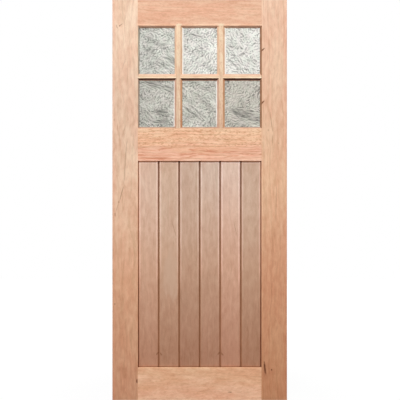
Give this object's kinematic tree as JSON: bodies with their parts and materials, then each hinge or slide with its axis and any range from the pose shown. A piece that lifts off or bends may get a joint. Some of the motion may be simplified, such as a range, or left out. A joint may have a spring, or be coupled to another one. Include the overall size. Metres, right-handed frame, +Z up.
{
  "type": "glazed front door",
  "caption": "Framed hardwood front door leaf: six obscured glass panes in bevelled beads over a panel of upright vee-jointed boards.",
  "frame": {"origin": "foot of the hinge edge, at mid thickness", "axes": "+X across the leaf from the hinge edge to the lock edge, +Y through it from front to back, +Z up"},
  "size_m": [0.864, 0.044, 1.981],
  "materials": {
    "frame_wood": "planed and sanded, unvarnished",
    "bar_wood": "planed and sanded, unvarnished",
    "board_wood": "planed and sanded, unvarnished",
    "obscured_glass": "pebbled face, obscured"
  },
  "bodies": {
    "root": {"hinge_stile": "frame_wood", "lock_stile": "frame_wood", "top_rail": "frame_wood", "lock_rail": "frame_wood", "bottom_rail": "frame_wood", "left_glazing_bar": "bar_wood", "right_glazing_bar": "bar_wood", "left_cross_bar": "bar_wood", "middle_cross_bar": "bar_wood", "right_cross_bar": "bar_wood", "upper_left_pane": "obscured_glass", "upper_middle_pane": "obscured_glass", "upper_right_pane": "obscured_glass", "lower_left_pane": "obscured_glass", "lower_middle_pane": "obscured_glass", "lower_right_pane": "obscured_glass", "upper_left_upright_beads": "bar_wood", "upper_left_level_beads": "bar_wood", "upper_middle_upright_beads": "bar_wood", "upper_middle_level_beads": "bar_wood", "upper_right_upright_beads": "bar_wood", "upper_right_level_beads": "bar_wood", "lower_left_upright_beads": "bar_wood", "lower_left_level_beads": "bar_wood", "lower_middle_upright_beads": "bar_wood", "lower_middle_level_beads": "bar_wood", "lower_right_upright_beads": "bar_wood", "lower_right_level_beads": "bar_wood", "board_1": "board_wood", "board_2": "board_wood", "board_3": "board_wood", "board_4": "board_wood", "board_5": "board_wood", "board_6": "board_wood"}
  },
  "joints": []
}
